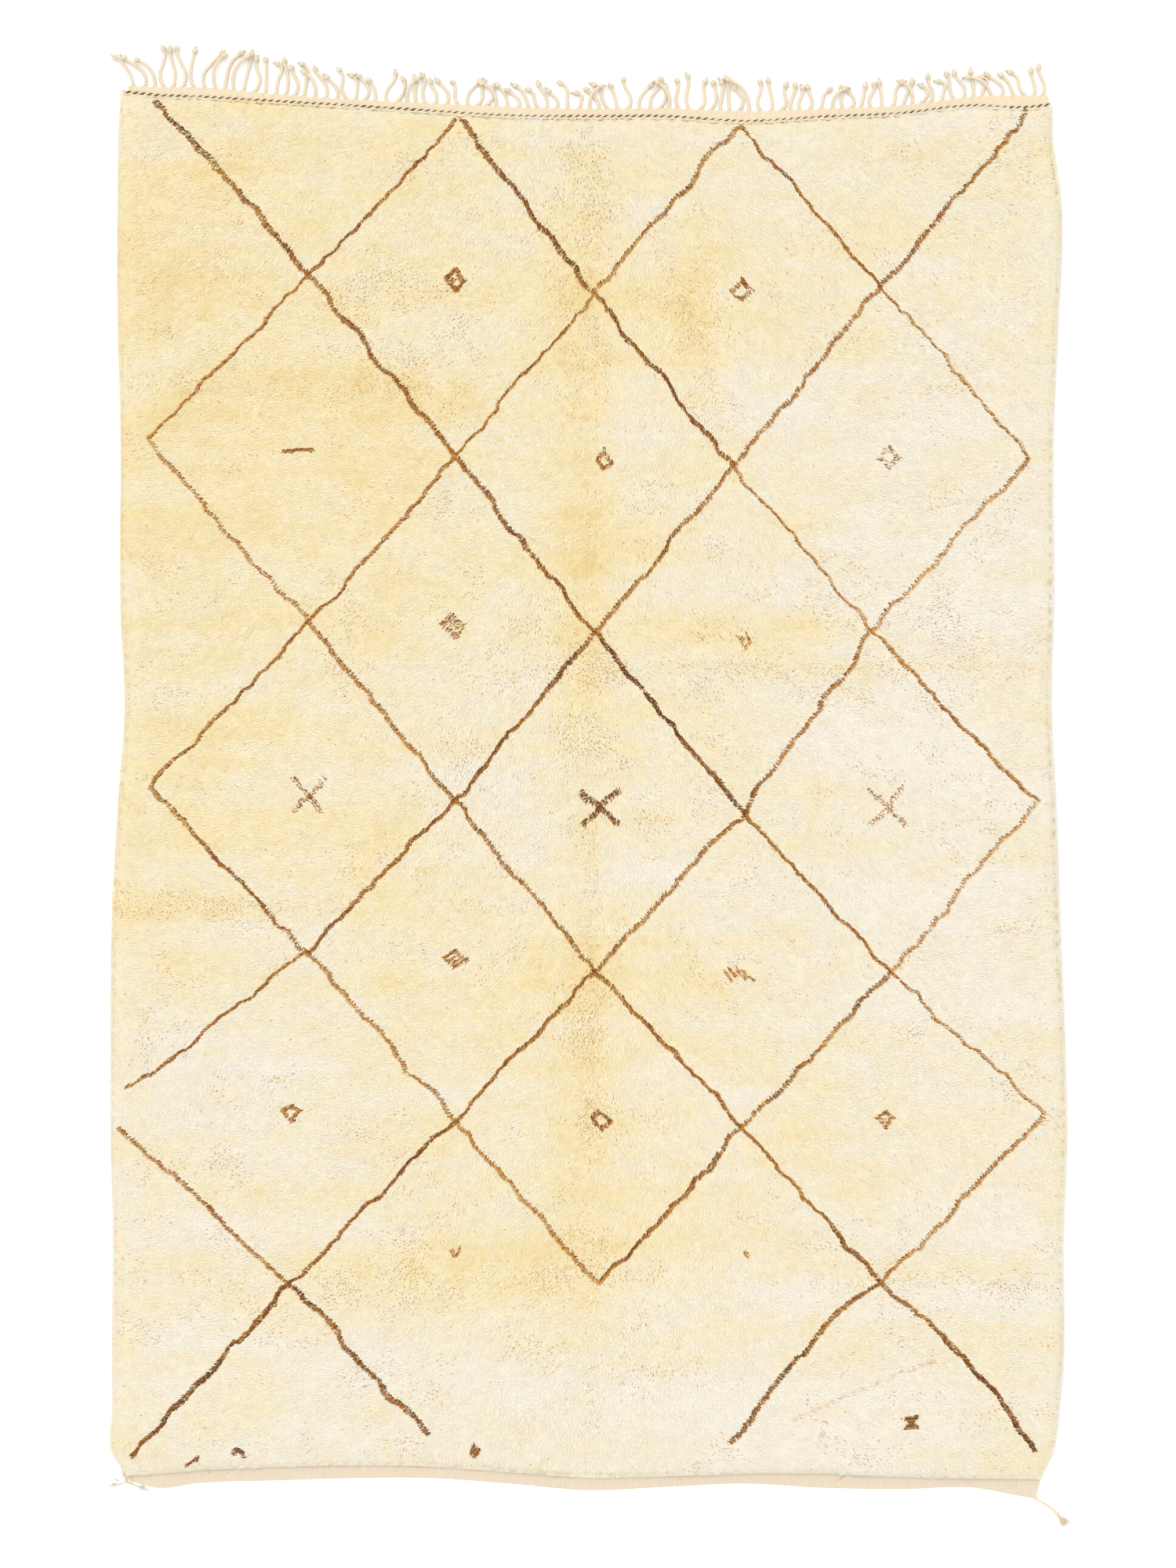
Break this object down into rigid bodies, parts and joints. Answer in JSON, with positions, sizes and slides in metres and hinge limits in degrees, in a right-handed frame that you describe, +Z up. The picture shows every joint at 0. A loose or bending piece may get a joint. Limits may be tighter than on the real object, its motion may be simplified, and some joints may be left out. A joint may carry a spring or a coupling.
{
  "type": "beni ourain rug",
  "caption": "Hand-knotted wool shag rug lying flat: cream pile with a brown lozenge lattice, a plain-woven lower end, a twined row and a fringe of knotted warp cords.",
  "frame": {"origin": "on the floor under the middle of the rug, on the underside of its woven ground", "axes": "+Y along the rug's length to its fringed end, +X to the right seen from above, +Z up out of the pile"},
  "size_m": [2.0951, 3.2285, 0.0323],
  "materials": {
    "ground_wool": "plain-woven undyed wool, matte",
    "pile_wool": "long knotted pile of cream wool with brown lines, soft sheen",
    "twined_wool": "brown and cream yarn twined together, matte",
    "cord_wool": "tightly twisted undyed warp yarn, matte"
  },
  "bodies": {
    "root": {"ground_weave": "ground_wool", "pile": "pile_wool", "twined_row": "twined_wool", "top_fringe": "cord_wool", "corner_tail": "cord_wool", "corner_knot": "cord_wool"}
  },
  "joints": []
}
